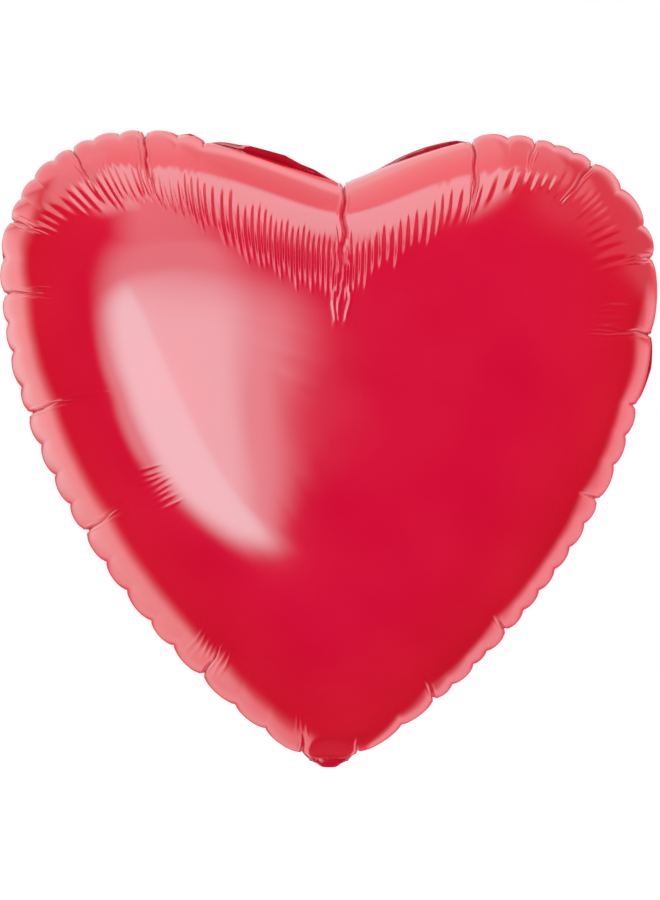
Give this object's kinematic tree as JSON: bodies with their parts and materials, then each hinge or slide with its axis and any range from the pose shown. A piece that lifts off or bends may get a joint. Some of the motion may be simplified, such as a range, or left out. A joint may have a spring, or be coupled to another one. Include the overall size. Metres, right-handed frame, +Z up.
{
  "type": "foil balloon",
  "caption": "Inflated heart-shaped metallised film balloon with a heat-sealed seam, a self-sealing valve and a filling tail folded up behind it.",
  "frame": {"origin": "lowest point of the neck, in the seal plane, where the tail folds over", "axes": "+Z up through the notch, +X to the right seen from the front, front dome towards -Y"},
  "size_m": [0.3854, 0.17, 0.3736],
  "materials": {
    "foil": "metallised red film, glossy",
    "seal": "heat-sealed metallised film, slightly dulled",
    "valve_film": "clear to milky polyethylene film"
  },
  "bodies": {
    "envelope": {"front_panel": "foil", "rear_panel": "foil", "heat_seal_band": "seal", "valve_front_ply": "valve_film", "valve_rear_ply": "valve_film", "valve_weld_left": "valve_film", "valve_weld_right": "valve_film"},
    "tail": {"tail_front_ply": "foil", "tail_rear_ply": "foil", "tail_weld_left": "seal", "tail_weld_right": "seal", "inlet_front_ply": "valve_film", "inlet_rear_ply": "valve_film"}
  },
  "joints": [
    {"name": "tail_fold", "type": "hinge", "parent": "envelope", "child": "tail", "pos_m": [0, 0, 0.002], "axis": [-1, 0, 0], "range_deg": [0, 236]}
  ]
}
